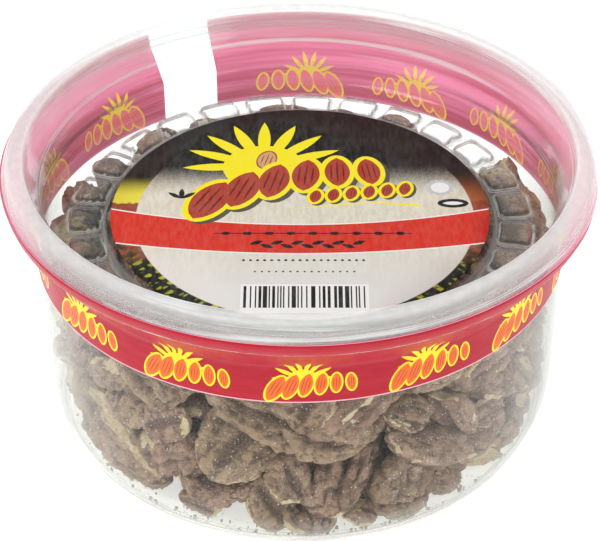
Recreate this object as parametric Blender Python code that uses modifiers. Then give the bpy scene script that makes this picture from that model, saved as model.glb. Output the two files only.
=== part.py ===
"""Round clear plastic tub with a press-on lid, a printed wrap, a printed lid label and shelled pecan halves inside.

The origin is at the middle of the tub's base, +Z goes up through the lid, and -Y is the front.
"""

from math import atan2, cos, hypot, pi, radians, sin, tau

import bmesh
import bpy
import numpy as np
from mathutils import Matrix, Vector

MM = 0.001

# Driving dimensions, in metres
TUB_HEIGHT = 58.6 * MM  # top of the tub's flange
BASE_RADIUS = 47.7 * MM  # flat that stands on the table
CORNER_HEIGHT = 9.0 * MM  # where the rounded foot meets the wall
WALL_LOW_RADIUS = 52.9 * MM
WALL_TOP_RADIUS = 54.0 * MM
WALL_TOP = 55.0 * MM
FLANGE_RADIUS = 58.6 * MM
TUB_SHEET = 0.7 * MM

LID_TOP = 63.0 * MM
CREST_INNER_RADIUS = 55.2 * MM
CREST_OUTER_RADIUS = 58.4 * MM
SKIRT_RADIUS = 60.0 * MM
SKIRT_WIDEST = 59.0 * MM  # height at which the skirt is widest
LIP_RADIUS = 59.3 * MM
LIP_HEIGHT = 56.0 * MM
LID_SHEET = 0.5 * MM
PANEL_TOP = 46.6 * MM  # the raised middle of the lid
PANEL_RADIUS = 40.0 * MM
RING_FLOOR = 44.8 * MM  # the ring of pads round the panel
RING_RADIUS = 49.4 * MM
PAD_TOP = 46.1 * MM
PAD_COUNT = 27
PLUG_RADIUS = 52.2 * MM  # inside of the lid's well

LABEL_RADIUS = 38.6 * MM
LABEL_THICKNESS = 0.15 * MM
LABEL_GAP = 0.05 * MM
WRAP_THICKNESS = 0.15 * MM
WRAP_GAP = 0.12 * MM
WRAP_BOTTOM = 40.2 * MM
WRAP_TOP = 59.0 * MM
WRAP_LANDS = 50.0 * MM  # height at which the wrap reaches the wall below the lip
WRAP_OPEN_FROM = radians(110.0)  # the wrap's two ends, measured from +X towards +Y
WRAP_OPEN_TO = radians(123.5)

HALF_COUNT = 48
PIECE_COUNT = 6
BACK_SHARE = 0.72  # of a kernel's depth, above the line where it is widest
LENGTH_POWER = 2.5  # a kernel's smooth outline is |x|^2.5 + y^2 + |z|^power = 1 in its half sizes
BACK_POWER = 2.7
FACE_POWER = 3.3
NUT_GAP = 0.3 * MM
PER_LAYER = 8
PUSH_LIMIT = 1.5 * MM
SETTLED = 0.03 * MM
PACKING = [(0.12 * MM, False, 700), (0.02 * MM, True, 300), (0.0, True, 700)]  # (drop, under the lid, rounds)
SEED = 11

TUB_STEPS = 54
LID_STEPS = 3 * PAD_COUNT
WRAP_STEPS = 52


def clear_scene():
    for thing in list(bpy.data.objects):
        bpy.data.objects.remove(thing, do_unlink=True)


def collection(name):
    made = bpy.data.collections.new(name)
    bpy.context.scene.collection.children.link(made)
    return made


def material(name, colour, roughness, transmission=0.0):
    made = bpy.data.materials.new(name)
    made.use_nodes = True
    shader = made.node_tree.nodes["Principled BSDF"]
    shader.inputs["Base Color"].default_value = (*colour, 1.0)
    shader.inputs["Roughness"].default_value = roughness
    shader.inputs["Metallic"].default_value = 0.0
    shader.inputs["Transmission Weight"].default_value = transmission
    return made


def add_object(name, mesh, group, skin):
    mesh.materials.append(skin)
    made = bpy.data.objects.new(name, mesh)
    group.objects.link(made)
    return made


def turned(name, profile, steps, group, skin, start=0.0, sweep=tau):
    """An object whose profile, (radius, height) points down its outer side, is turned round Z."""
    mesh = bpy.data.meshes.new(name)
    points = [(radius * cos(start), radius * sin(start), height) for radius, height in profile]
    mesh.from_pydata(points, [(i, i + 1) for i in range(len(points) - 1)], [])
    made = add_object(name, mesh, group, skin)
    screw = made.modifiers.new("turn", "SCREW")
    screw.axis = "Z"
    screw.angle = sweep
    screw.steps = screw.render_steps = steps
    screw.use_merge_vertices = True
    screw.merge_threshold = 0.00002
    screw.use_smooth_shade = True
    return made


def tub_inside():
    """(radius, height) up the inside wall, from the edge of the floor to where the flare starts."""
    return [
        (BASE_RADIUS - 0.3 * MM, TUB_SHEET),
        (BASE_RADIUS + 2.1 * MM, 3.0 * MM),
        (WALL_LOW_RADIUS - 1.8 * MM, 5.2 * MM),
        (WALL_LOW_RADIUS - TUB_SHEET, CORNER_HEIGHT),
        (WALL_TOP_RADIUS - TUB_SHEET, WALL_TOP + 0.3 * MM),
    ]


def tub_profile():
    """Inside of the floor, up the inside wall, over the flange, and down the outside to the base."""
    foot = [(BASE_RADIUS, 0.0), (BASE_RADIUS + 2.7 * MM, 2.5 * MM), (WALL_LOW_RADIUS - 1.1 * MM, 4.9 * MM)]
    wall = [(WALL_LOW_RADIUS, CORNER_HEIGHT), (WALL_TOP_RADIUS, WALL_TOP)]
    flare = [(WALL_TOP_RADIUS + 1.2 * MM, TUB_HEIGHT - 1.2 * MM), (FLANGE_RADIUS, TUB_HEIGHT - 0.8 * MM)]
    outside = foot + wall + flare
    inner_flare = [(WALL_TOP_RADIUS + 1.0 * MM, TUB_HEIGHT - 0.3 * MM), (FLANGE_RADIUS - 0.3 * MM, TUB_HEIGHT)]
    return [(0.0, TUB_SHEET)] + tub_inside() + inner_flare + outside[::-1] + [(0.0, 0.0)]


def make_tub(group):
    skin = material("clear_tub_plastic", (0.93, 0.95, 0.94), 0.08, 0.95)
    return turned("tub", tub_profile(), TUB_STEPS, group, skin)


def lid_upper_side():
    """(radius, height, is on a pad) from the middle of the lid out to the lip."""
    return [
        (0.0, PANEL_TOP, False),
        (PANEL_RADIUS, PANEL_TOP, False),
        (PANEL_RADIUS + 0.7 * MM, RING_FLOOR, False),
        (PANEL_RADIUS + 1.3 * MM, RING_FLOOR, False),
        (PANEL_RADIUS + 2.1 * MM, PAD_TOP, True),
        (RING_RADIUS - 2.3 * MM, PAD_TOP, True),
        (RING_RADIUS - 1.5 * MM, RING_FLOOR, False),
        (RING_RADIUS, RING_FLOOR, False),
        (PLUG_RADIUS - 0.7 * MM, RING_FLOOR + 2.0 * MM, False),
        (PLUG_RADIUS, RING_FLOOR + 5.6 * MM, False),
        (PLUG_RADIUS + 0.4 * MM, LID_TOP - 5.5 * MM, False),
        (CREST_INNER_RADIUS - 0.4 * MM, LID_TOP - 2.6 * MM, False),
        (CREST_INNER_RADIUS + 0.4 * MM, LID_TOP, False),
        (CREST_OUTER_RADIUS, LID_TOP, False),
        (SKIRT_RADIUS, SKIRT_WIDEST, False),
        (LIP_RADIUS, LIP_HEIGHT, False),
    ]


def lid_under_side():
    """The same from the lip back to the middle, one sheet thickness below and inside."""
    return [
        (LIP_RADIUS - LID_SHEET, LIP_HEIGHT),
        (SKIRT_RADIUS - LID_SHEET, SKIRT_WIDEST),
        (CREST_OUTER_RADIUS - 0.4 * MM, LID_TOP - LID_SHEET),
        (CREST_INNER_RADIUS + 0.8 * MM, LID_TOP - LID_SHEET),
        (CREST_INNER_RADIUS + 0.1 * MM, LID_TOP - 2.8 * MM),
        (PLUG_RADIUS + 0.9 * MM, LID_TOP - 5.3 * MM),
        (PLUG_RADIUS + LID_SHEET, RING_FLOOR + 5.5 * MM),
        (PLUG_RADIUS - 0.3 * MM, RING_FLOOR + 1.6 * MM),
        (RING_RADIUS + 0.2 * MM, RING_FLOOR - LID_SHEET),
        (PANEL_RADIUS + 0.4 * MM, RING_FLOOR - LID_SHEET),
        (PANEL_RADIUS - 0.4 * MM, PANEL_TOP - LID_SHEET),
        (0.0, PANEL_TOP - LID_SHEET),
    ]


def make_lid(group):
    """The lid is spun from its section, and one step in three of each pad ring drops to a groove."""
    upper = lid_upper_side()
    profile = [(radius, height) for radius, height, on_pad in upper] + lid_under_side()
    pad_rings = [radius for radius, height, on_pad in upper if on_pad]
    mesh = bpy.data.meshes.new("lid")
    shape = bmesh.new()
    points = [shape.verts.new((radius, 0.0, height)) for radius, height in profile]
    edges = [shape.edges.new(pair) for pair in zip(points, points[1:])]
    bmesh.ops.spin(
        shape, geom=points + edges, axis=(0, 0, 1), cent=(0, 0, 0), angle=tau, steps=LID_STEPS, use_merge=True
    )
    bmesh.ops.remove_doubles(shape, verts=shape.verts, dist=0.00001)
    bmesh.ops.recalc_face_normals(shape, faces=shape.faces)
    for vert in shape.verts:
        radius = hypot(vert.co.x, vert.co.y)
        on_pad_ring = any(abs(radius - ring) < 0.01 * MM for ring in pad_rings)
        step = round(atan2(vert.co.y, vert.co.x) / tau * LID_STEPS) % LID_STEPS
        if on_pad_ring and vert.co.z > RING_FLOOR and step % 3 == 0:
            vert.co.z = RING_FLOOR + 0.15 * MM
    shape.to_mesh(mesh)
    shape.free()
    mesh.shade_smooth()
    mesh.set_sharp_from_angle(angle=radians(40))
    skin = material("clear_lid_plastic", (0.95, 0.96, 0.95), 0.06, 0.95)
    return add_object("lid", mesh, group, skin)


def make_wrap(group):
    """The printed strip lies on the lid's skirt, bridges in under the lip, and lies on the tub's wall."""
    wall_slope = (WALL_TOP_RADIUS - WALL_LOW_RADIUS) / (WALL_TOP - CORNER_HEIGHT)

    def wall_at(height):
        return WALL_LOW_RADIUS + wall_slope * (height - CORNER_HEIGHT) + WRAP_GAP

    profile = [
        (SKIRT_RADIUS + WRAP_GAP, WRAP_TOP),
        (LIP_RADIUS + WRAP_GAP, LIP_HEIGHT - 0.2 * MM),
        (wall_at(WRAP_LANDS), WRAP_LANDS),
        (wall_at(WRAP_BOTTOM), WRAP_BOTTOM),
    ]
    sweep = tau - (WRAP_OPEN_TO - WRAP_OPEN_FROM)
    skin = material("red_printed_wrap", (0.62, 0.03, 0.06), 0.25)
    made = turned("side_label", profile, WRAP_STEPS, group, skin, WRAP_OPEN_TO, sweep)
    shell = made.modifiers.new("thickness", "SOLIDIFY")
    shell.thickness = WRAP_THICKNESS
    shell.offset = 1.0
    return made


def make_lid_label(group):
    mesh = bpy.data.meshes.new("lid_label")
    shape = bmesh.new()
    middle = Matrix.Translation((0, 0, PANEL_TOP + LABEL_GAP + LABEL_THICKNESS / 2))
    bmesh.ops.create_cone(
        shape, cap_ends=True, segments=72, radius1=LABEL_RADIUS, radius2=LABEL_RADIUS,
        depth=LABEL_THICKNESS, matrix=middle,
    )
    shape.to_mesh(mesh)
    shape.free()
    return add_object("lid_label", mesh, group, material("printed_lid_label", (0.80, 0.76, 0.66), 0.35))


def sphere_points():
    """Points of a ball whose poles lie on X, from which every kernel is drawn."""
    shape = bmesh.new()
    lying = Matrix.Rotation(pi / 2, 4, "Y")
    bmesh.ops.create_uvsphere(shape, u_segments=12, v_segments=8, radius=1.0, matrix=lying)
    return shape, np.array([vert.co[:] for vert in shape.verts])


def kernel_points(ball, length, width, depth):
    """Half a pecan from a ball: its back has a ridge between two grooves, its flat face one groove."""
    along = np.clip(ball[:, 0], -1, 1)
    around = np.arctan2(ball[:, 2], ball[:, 1])
    swell = np.sqrt(1 - abs(along) ** LENGTH_POWER)
    rise, side = np.sin(around), np.cos(around)
    back_groove = 0.17 * np.exp(-(((abs(side) - 0.5) / 0.17) ** 2))
    face_groove = 0.65 * np.exp(-((side / 0.3) ** 2))
    back = BACK_SHARE * (1 - back_groove) * abs(rise) ** (2 / BACK_POWER)
    face = (BACK_SHARE - 1) * (1 - face_groove) * abs(rise) ** (2 / FACE_POWER)
    height = np.where(rise >= 0, back, face)
    return np.stack([along * length / 2, side * swell * width / 2, height * swell * depth], axis=1)


class Kernels:
    """Sizes, places and turns of all the kernels, with the points of each in its own frame."""

    def __init__(self, rng, ball):
        count = HALF_COUNT + PIECE_COUNT
        whole = np.arange(count) < HALF_COUNT
        self.length = np.where(whole, rng.uniform(30.0, 35.0, count), rng.uniform(16.0, 20.0, count)) * MM
        self.width = np.where(whole, rng.uniform(18.0, 20.5, count), rng.uniform(14.5, 17.0, count)) * MM
        self.depth = rng.uniform(9.8, 11.4, count) * MM
        sizes = zip(self.length, self.width, self.depth)
        self.points = np.array([kernel_points(ball, *size) for size in sizes])
        self.gyration = self.length / 3.6
        order = rng.permutation(count)
        layer, slot = order // PER_LAYER, order % PER_LAYER
        around = slot * tau / (PER_LAYER - 1) + layer * 0.9
        out = np.where(slot == PER_LAYER - 1, 0.0, 32.0 * MM)
        self.place = np.stack([out * np.cos(around), out * np.sin(around), (12 + layer * 16.0) * MM], axis=1)
        self.turn = np.array([lying_turn(rng) for _ in range(count)])

    def world(self):
        return self.place[:, None] + np.einsum("nij,nkj->nki", self.turn, self.points)

    def move(self, shift, spin):
        self.place = self.place + shift
        for i, rotation in enumerate(spin):
            angle = float(np.sqrt(rotation @ rotation))
            if angle > 1e-6:
                self.turn[i] = np.array(Matrix.Rotation(angle, 3, Vector(rotation / angle))) @ self.turn[i]


def lying_turn(rng):
    """Mostly lying down, either face up, pointing any way."""
    heading = Matrix.Rotation(rng.uniform(0, tau), 3, "Z")
    pitch = Matrix.Rotation(rng.normal(0, 0.45), 3, "Y")
    roll = Matrix.Rotation(rng.normal(0, 0.7) + pi * (rng.random() < 0.45), 3, "X")
    return np.array(heading @ pitch @ roll)


def inside_radius(height):
    """Radius left for the kernels at a height, measured to the middle of the tub's flat facets."""
    radii, heights = zip(*tub_inside())
    return np.interp(height, heights, radii) * cos(pi / TUB_STEPS) - NUT_GAP


def lid_underside(radius):
    panel = PANEL_TOP - LID_SHEET - NUT_GAP
    ring = RING_FLOOR - LID_SHEET - NUT_GAP
    return np.where(radius < PANEL_RADIUS - 3 * MM, panel, ring)


def depth_in(kernels, which, points):
    """How deep each point lies in the smooth outline of its kernel, and the way out, in that kernel's frame."""
    half_length = kernels.length[which][:, None] / 2 + NUT_GAP
    half_width = kernels.width[which][:, None] / 2 + NUT_GAP
    on_back = points[..., 2] > 0
    depth = kernels.depth[which][:, None]
    rise = np.where(on_back, BACK_SHARE * depth, (1 - BACK_SHARE) * depth) + NUT_GAP
    power = np.where(on_back, BACK_POWER, FACE_POWER)
    x, y, z = points[..., 0] / half_length, points[..., 1] / half_width, points[..., 2] / rise
    level = abs(x) ** LENGTH_POWER + y**2 + abs(z) ** power
    slope = np.stack(
        [
            LENGTH_POWER * abs(x) ** (LENGTH_POWER - 1) * np.sign(x) / half_length,
            2 * y / half_width,
            power * abs(z) ** (power - 1) * np.sign(z) / rise,
        ],
        axis=-1,
    )
    steep = np.sqrt((slope**2).sum(axis=-1)) + 1e-9
    return (1 - level) / steep, slope / steep[..., None]


def pack_round(kernels, drop, lidded):
    """Lower the kernels by drop, push apart those that touch, and push back what left the tub."""
    kernels.place[:, 2] -= drop
    count = len(kernels.place)
    world = kernels.world()
    shift, spin, touches = np.zeros((count, 3)), np.zeros((count, 3)), np.zeros(count)

    def give(who, where, way):
        couple = np.cross(where - kernels.place[who], way)
        return couple, 1 + (couple**2).sum(axis=1) / kernels.gyration[who] ** 2

    def push(who, way, couple, amount):
        np.add.at(shift, who, way * amount[:, None])
        np.add.at(spin, who, couple * (amount / kernels.gyration[who] ** 2)[:, None])
        np.add.at(touches, who, 1)

    apart = np.sqrt(((kernels.place[:, None] - kernels.place[None]) ** 2).sum(axis=2))
    reach = (kernels.length[:, None] + kernels.length[None]) / 2
    mine, other = np.nonzero((apart < reach) & ~np.eye(count, dtype=bool))
    local = np.einsum("kij,kvi->kvj", kernels.turn[other], world[mine] - kernels.place[other][:, None])
    deep, way_out = depth_in(kernels, other, local)
    pair, point = np.nonzero(deep > 0)
    worst = float(deep[pair, point].max(initial=0))
    way = np.einsum("kij,kj->ki", kernels.turn[other[pair]], way_out[pair, point])
    where = world[mine[pair], point]
    couple, yields = give(mine[pair], where, way)
    other_couple, other_yields = give(other[pair], where, -way)
    amount = np.minimum(deep[pair, point], PUSH_LIMIT) / (yields + other_yields)
    push(mine[pair], way, couple, amount)
    push(other[pair], -way, other_couple, amount)

    flat = world.reshape(-1, 3)
    owner = np.repeat(np.arange(count), world.shape[1])
    out = np.hypot(flat[:, 0], flat[:, 1])
    radial = np.stack([flat[:, 0], flat[:, 1], 0 * out], axis=1) / (out[:, None] + 1e-9)
    up = np.array([[0.0, 0.0, 1.0]]).repeat(len(out), axis=0)
    walls = [(out - inside_radius(flat[:, 2]), -radial), (TUB_SHEET + NUT_GAP - flat[:, 2], up)]
    if lidded:
        walls.append((flat[:, 2] - lid_underside(out), -up))
    for past, inward in walls:
        hit = np.nonzero(past > 0)[0]
        worst = max(worst, float(past[hit].max(initial=0)))
        couple, yields = give(owner[hit], flat[hit], inward[hit])
        push(owner[hit], inward[hit], couple, past[hit] / yields)
    ease = (1.6 / np.maximum(touches, 1.6))[:, None]
    kernels.move(shift * ease, spin * ease)
    return worst


def pack_kernels(ball):
    """Kernels sink in slow steps until the tub is full, then are eased under the lid until nothing touches."""
    kernels = Kernels(np.random.default_rng(SEED), ball)
    for drop, lidded, rounds in PACKING:
        for _ in range(rounds):
            if pack_round(kernels, drop, lidded) < SETTLED and not drop:
                break
    return kernels


def kernel_mesh(name, shape, points):
    mesh = bpy.data.meshes.new(name)
    shape.to_mesh(mesh)
    for vert, point in zip(mesh.vertices, points):
        vert.co = point
    mesh.shade_smooth()
    return mesh


def make_kernels(group):
    shape, ball = sphere_points()
    kernels = pack_kernels(ball)
    rng = np.random.default_rng(SEED + 1)
    for i in range(HALF_COUNT + PIECE_COUNT):
        whole = i < HALF_COUNT
        name = f"pecan_half_{i + 1:02d}" if whole else f"pecan_piece_{i + 1 - HALF_COUNT:02d}"
        mesh = kernel_mesh(name, shape, kernels.points[i])
        shade = rng.uniform(0.85, 1.1)
        skin = material(name, (0.36 * shade, 0.25 * shade, 0.17 * shade), 0.75)
        made = add_object(name, mesh, group, skin)
        made.matrix_world = Matrix.Translation(kernels.place[i]) @ Matrix(kernels.turn[i]).to_4x4()
    shape.free()


def main():
    clear_scene()
    group = collection("tub_of_pecan_halves")
    make_tub(group)
    make_lid(group)
    make_wrap(group)
    make_lid_label(group)
    make_kernels(group)


main()
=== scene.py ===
"""Looks of a clear tub of shelled pecan halves: plastic, printed wrap and lid label, kernels, crumbs, salt.

Everything is in metres in the CAD part's frame. The tub stands on z = 0 round the Z axis; -Y is the front.
"""

from itertools import pairwise, product
from math import ceil, cos, pi, radians, sin, tau

import bmesh
import bpy
import numpy as np
from mathutils import Matrix, Vector
from mathutils.geometry import delaunay_2d_cdt


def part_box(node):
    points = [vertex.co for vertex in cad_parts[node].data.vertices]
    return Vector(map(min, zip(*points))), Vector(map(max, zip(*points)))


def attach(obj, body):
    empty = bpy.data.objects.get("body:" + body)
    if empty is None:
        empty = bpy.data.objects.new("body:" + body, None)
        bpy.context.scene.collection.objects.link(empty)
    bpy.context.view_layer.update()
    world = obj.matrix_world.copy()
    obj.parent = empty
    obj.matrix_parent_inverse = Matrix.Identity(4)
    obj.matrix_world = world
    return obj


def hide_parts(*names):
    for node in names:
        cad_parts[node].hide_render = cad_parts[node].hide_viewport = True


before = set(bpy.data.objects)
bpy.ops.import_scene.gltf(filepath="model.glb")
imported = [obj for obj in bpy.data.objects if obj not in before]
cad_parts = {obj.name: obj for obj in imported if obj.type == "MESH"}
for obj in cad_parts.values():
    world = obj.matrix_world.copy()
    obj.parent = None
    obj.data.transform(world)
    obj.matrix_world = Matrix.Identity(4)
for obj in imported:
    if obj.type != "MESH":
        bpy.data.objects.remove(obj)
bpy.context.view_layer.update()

MM = 0.001

# Driving dimensions, read from the CAD nodes
TUB_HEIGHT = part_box("tub")[1].z
FLANGE_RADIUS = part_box("tub")[1].x
LID_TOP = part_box("lid")[1].z
SKIRT_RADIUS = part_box("lid")[1].x
LABEL_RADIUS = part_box("lid_label")[1].x
LABEL_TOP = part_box("lid_label")[1].z
WRAP_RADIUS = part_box("side_label")[1].x
WRAP_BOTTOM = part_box("side_label")[0].z
WRAP_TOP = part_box("side_label")[1].z

TUB_SHEET = 0.7 * MM
LID_SHEET = 0.5 * MM
FILM = 0.14 * MM
PAPER = 0.14 * MM
PAD_COUNT = 27
WALL_LOW_RADIUS = FLANGE_RADIUS - 5.7 * MM
WALL_TOP_RADIUS = FLANGE_RADIUS - 4.6 * MM
CORNER_HEIGHT = 9.0 * MM
WALL_TOP = TUB_HEIGHT - 3.6 * MM
PANEL_TOP = LABEL_TOP - 0.2 * MM
RING_FLOOR = PANEL_TOP - 1.8 * MM
PAD_RISE = 1.3 * MM
PAD_INNER, PAD_OUTER = 41.1 * MM, 47.0 * MM
LIP_HEIGHT = LID_TOP - 7.0 * MM

WRAP_FROM = radians(123.5)  # the strip's two ends, measured from +X towards +Y
WRAP_TO = radians(470.0)
MOTIF_COUNT = 13
MOTIF_PITCH = radians(26.06)
FIRST_MOTIF = radians(139.7)

SEED = 5

# Candidate places of the kernel bits: heights, distances from the wall and steps round it
FILL_ROWS = np.array([4.0, 8.0, 12.0, 16.5, 21.0, 25.5, 30.0, 34.5, 38.0, 41.0]) * MM
FILL_INSETS = np.array([3.5, 9.0, 16.0, 24.0]) * MM
FILL_STEPS = 72
TOP_ROW = 36.0 * MM  # from here up there are none at the back
FILL_LEAST = 2.5 * MM  # the smallest gap that gets a bit
FILL_LARGEST = 9.0 * MM  # a larger gap counts as this
FILL_MOST = 140
BIT_GROWTH = 1.75  # bits are made larger than their gap, to fill it, up to this length, width and depth
BIT_LIMITS = np.array([27.0, 15.0, 10.0]) * MM
BITS_IN_PIECE = 36


# Small helpers


def lattice(cells, seed):
    """A fixed number from 0 to 1 for each whole-number cell."""
    mixed = cells[..., 0] * 127.1 + cells[..., 1] * 311.7 + cells[..., 2] * 74.7 + seed * 53.3
    return np.mod(np.sin(mixed) * 43758.5453, 1.0)


def smooth_noise(points, seed=0.0):
    """Noise from -1 to 1 at each point, with features about one unit across."""
    cell = np.floor(points)
    part = points - cell
    part = part * part * (3 - 2 * part)
    total = np.zeros(points.shape[:-1])
    for corner in product((0, 1), repeat=3):
        weight = np.prod(np.where(np.array(corner), part, 1 - part), axis=-1)
        total += weight * lattice(cell + np.array(corner), seed)
    return total * 2 - 1


def noise_at(x, y, z, seed=0.0):
    """Smooth noise at points given by their coordinates, where a single number stands for all."""
    return smooth_noise(np.stack(np.broadcast_arrays(x, y, z), axis=-1), seed)


def fractal(points, seed=0.0, octaves=3):
    total = np.zeros(points.shape[:-1])
    for octave in range(octaves):
        total += smooth_noise(points * 2.03**octave + 7.1 * octave, seed + octave) * 0.5**octave
    return total


def ramp(value, low, high):
    """0 below low, 1 above high, smooth between."""
    part = np.clip((value - low) / (high - low), 0, 1)
    return part * part * (3 - 2 * part)


def ridge(value, middle, width):
    """1 at middle, falling to 0 a few widths from it."""
    return np.exp(-(((value - middle) / width) ** 2))


def grid_faces(rows, columns):
    """Squares of a flat grid of points, row by row."""
    wide = columns + 1
    starts = [row * wide + column for row in range(rows) for column in range(columns)]
    return [[start, start + 1, start + wide + 1, start + wide] for start in starts]


def ring_faces(rings, spokes):
    """Squares between neighbouring rings of points."""
    index = np.arange(rings * spokes).reshape(rings, spokes)
    across = np.roll(index, -1, axis=1)
    return np.stack([index[:-1], index[1:], across[1:], across[:-1]], axis=-1).reshape(-1, 4).tolist()


def mesh_object(name, points, faces, skins):
    mesh = bpy.data.meshes.new(name)
    mesh.from_pydata([tuple(p) for p in points], [], faces)
    for skin in skins:
        mesh.materials.append(skin)
    mesh.shade_smooth()
    made = bpy.data.objects.new(name, mesh)
    bpy.context.scene.collection.objects.link(made)
    return made


def weld(mesh, distance, outward=False):
    """Joins points closer than the distance, and turns all faces outwards if asked."""
    shape = bmesh.new()
    shape.from_mesh(mesh)
    bmesh.ops.remove_doubles(shape, verts=shape.verts, dist=distance)
    if outward:
        bmesh.ops.recalc_face_normals(shape, faces=shape.faces)
    shape.to_mesh(mesh)
    shape.free()


def paint(mesh, name, values):
    """Keeps one colour for each point of a mesh, for its material to read."""
    layer = mesh.color_attributes.new(name, "FLOAT_COLOR", "POINT")
    full = np.ones((len(values), 4), np.float32)
    full[:, : values.shape[1]] = values
    layer.data.foreach_set("color", full.ravel())


def place(piece, slot, *nodes):
    """The piece rides on the body and stands for the CAD nodes. The slot is not used."""
    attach(piece, "root")
    if nodes:
        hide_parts(*nodes)


# Materials


class Nodes:
    """Adds nodes to a material one at a time; an input is a number, a colour or another node's output."""

    def __init__(self, name):
        self.skin = bpy.data.materials.new(name)
        self.skin.use_nodes = True
        self.tree = self.skin.node_tree
        self.tree.nodes.clear()
        self.output = self.tree.nodes.new("ShaderNodeOutputMaterial")

    def put(self, socket, value):
        if isinstance(value, bpy.types.NodeSocket):
            self.tree.links.new(value, socket)
        elif isinstance(value, (tuple, list)) and len(value) == 3 and socket.type == "RGBA":
            socket.default_value = (*value, 1.0)
        else:
            socket.default_value = value

    def add(self, kind, inputs=None, **settings):
        node = self.tree.nodes.new("ShaderNode" + kind)
        for key, value in settings.items():
            setattr(node, key, value)
        for key, value in (inputs or {}).items():
            self.put(node.inputs[key], value)
        return node

    def place(self):
        return self.add("TexCoord").outputs["Object"]

    def scaled(self, vector, scale):
        return self.add("Mapping", {"Vector": vector, "Scale": scale}).outputs[0]

    def noise(self, vector, scale, detail=3.0, rough=0.55, distortion=0.0):
        inputs = {"Vector": vector, "Scale": scale, "Detail": detail, "Roughness": rough}
        return self.add("TexNoise", {**inputs, "Distortion": distortion}).outputs["Fac"]

    def voronoi(self, vector, scale):
        return self.add("TexVoronoi", {"Vector": vector, "Scale": scale}).outputs

    def maths(self, operation, a, b=0.0, clamp=False):
        node = self.add("Math", {0: a, 1: b}, operation=operation)
        node.use_clamp = clamp
        return node.outputs[0]

    def times(self, a, b, clamp=False):
        return self.maths("MULTIPLY", a, b, clamp)

    def plus(self, a, b, clamp=False):
        return self.maths("ADD", a, b, clamp)

    def span(self, value, low, high, to_low=0.0, to_high=1.0):
        inputs = {"Value": value, "From Min": low, "From Max": high, "To Min": to_low, "To Max": to_high}
        return self.add("MapRange", inputs, interpolation_type="SMOOTHSTEP").outputs[0]

    def blend(self, share, a, b):
        node = self.add("Mix", data_type="RGBA")
        self.put(node.inputs[0], share)
        self.put(node.inputs[6], a)
        self.put(node.inputs[7], b)
        return node.outputs[2]

    def bump(self, height, distance, strength=1.0, normal=None):
        node = self.add("Bump", {"Height": height, "Distance": distance, "Strength": strength})
        if normal is not None:
            self.put(node.inputs["Normal"], normal)
        return node.outputs[0]

    def attribute(self, name):
        return self.add("Attribute", attribute_name=name).outputs

    def split(self, colour):
        """Red, green and blue."""
        return self.add("SeparateColor", {"Color": colour}).outputs

    def finish(self, shader):
        self.tree.links.new(shader, self.output.inputs["Surface"])
        return self.skin

    def principled(self, colour, rough, normal, more=None):
        inputs = {"Base Color": colour, "Roughness": rough, "Normal": normal}
        return self.finish(self.add("BsdfPrincipled", inputs | (more or {})).outputs[0])


def clear_plastic(name, tint, edge_tint, haze_colour, head_on):
    """Clear sheet: it shows what is behind it and mirrors more at low angles.

    Its look layer holds its milkiness, partly haze and partly painted highlights, its painted shade lines and
    its painted glints.
    """
    n = Nodes(name)
    at = n.place()
    ripple = n.noise(at, 160.0, 2.0)
    scuff = n.noise(n.scaled(at, (1.0, 1.0, 3.0)), 500.0, 2.0, 0.5)
    normal = n.bump(ripple, 0.15 * MM, 0.5)
    facing = n.add("LayerWeight", {"Blend": 0.5, "Normal": normal}).outputs["Facing"]
    steep = n.maths("POWER", facing, 4.0)
    mirror = n.plus(n.times(steep, 0.75), head_on, clamp=True)
    look = n.split(n.attribute("look")["Color"])
    thick = n.blend(n.span(facing, 0.45, 0.95), tint, edge_tint)
    # painted shade: the look layer's green darkens what shows through into dark lines, standing in for
    # refraction at bends
    tint_and_painted_lines = n.blend(look[1], thick, (0.20, 0.17, 0.16))
    through = n.add("BsdfTransparent", {"Color": tint_and_painted_lines}).outputs[0]
    gloss_rough = n.span(scuff, 0.3, 0.8, 0.05, 0.11)
    gloss = n.add("BsdfGlossy", {"Color": (0.97, 0.97, 0.97), "Roughness": gloss_rough, "Normal": normal})
    clear = n.add("MixShader", {0: mirror, 1: through, 2: gloss.outputs[0]}).outputs[0]
    # the milky layer: real haze, also used for painted highlights
    lit = n.add("BsdfDiffuse", {"Color": haze_colour, "Roughness": 0.4}).outputs[0]
    backlit = n.add("BsdfTranslucent", {"Color": haze_colour}).outputs[0]
    milk_and_painted_highlights = n.add("AddShader", {0: lit, 1: backlit}).outputs[0]
    # painted glints: bright streaks of the milky layer in fine height bands, as much as the look layer's blue
    # allows
    level = n.noise(n.scaled(at, (12.0, 12.0, 900.0)), 1.0, 3.0, 0.6)
    glints = n.times(n.span(level, 0.60, 0.68), n.times(look[2], 0.45))
    # share of the milky layer: haze and painted highlights from the look layer's red, plus the painted glints
    haze_and_painted_highlights = n.times(look[0], n.span(scuff, 0.2, 0.8, 0.93, 1.07), clamp=True)
    haze_and_painted_highlights = n.plus(haze_and_painted_highlights, glints, clamp=True)
    return n.finish(n.add("MixShader", {0: haze_and_painted_highlights, 1: clear, 2: milk_and_painted_highlights}).outputs[0])


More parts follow.
